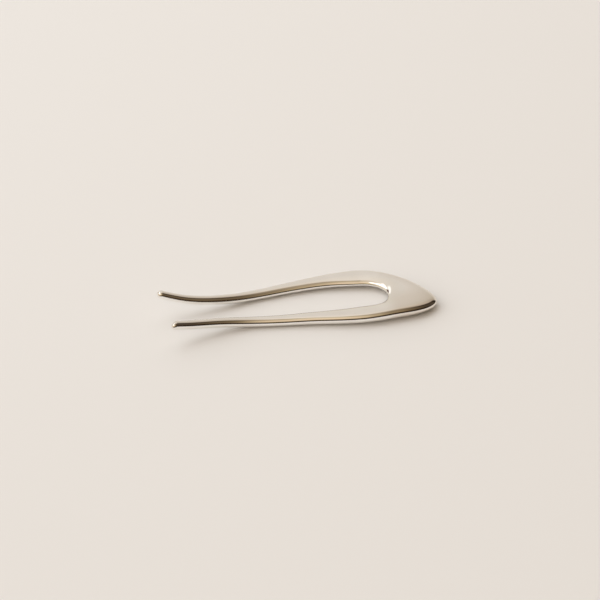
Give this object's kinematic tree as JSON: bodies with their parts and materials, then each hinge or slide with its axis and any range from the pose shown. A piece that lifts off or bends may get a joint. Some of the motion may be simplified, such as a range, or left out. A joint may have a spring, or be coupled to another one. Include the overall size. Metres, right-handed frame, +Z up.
{
  "type": "hair fork",
  "caption": "Polished cast-metal hair fork with a leaf-shaped head, a long open slot and slim, gently curved tines with rounded tips, for pinning up a twist or bun.",
  "frame": {"origin": "middle of the fork's bounding box, on the surface that it lies on", "axes": "+X from the tips to the nose of the head, +Y across the tines towards the longer one, +Z up from the surface that the fork lies on"},
  "size_m": [0.112, 0.0324, 0.013],
  "materials": {
    "silver_plate": "mirror-polished silver plate over cast brass, with fine wear scratches"
  },
  "bodies": {
    "root": {"fork": "silver_plate"}
  },
  "joints": []
}
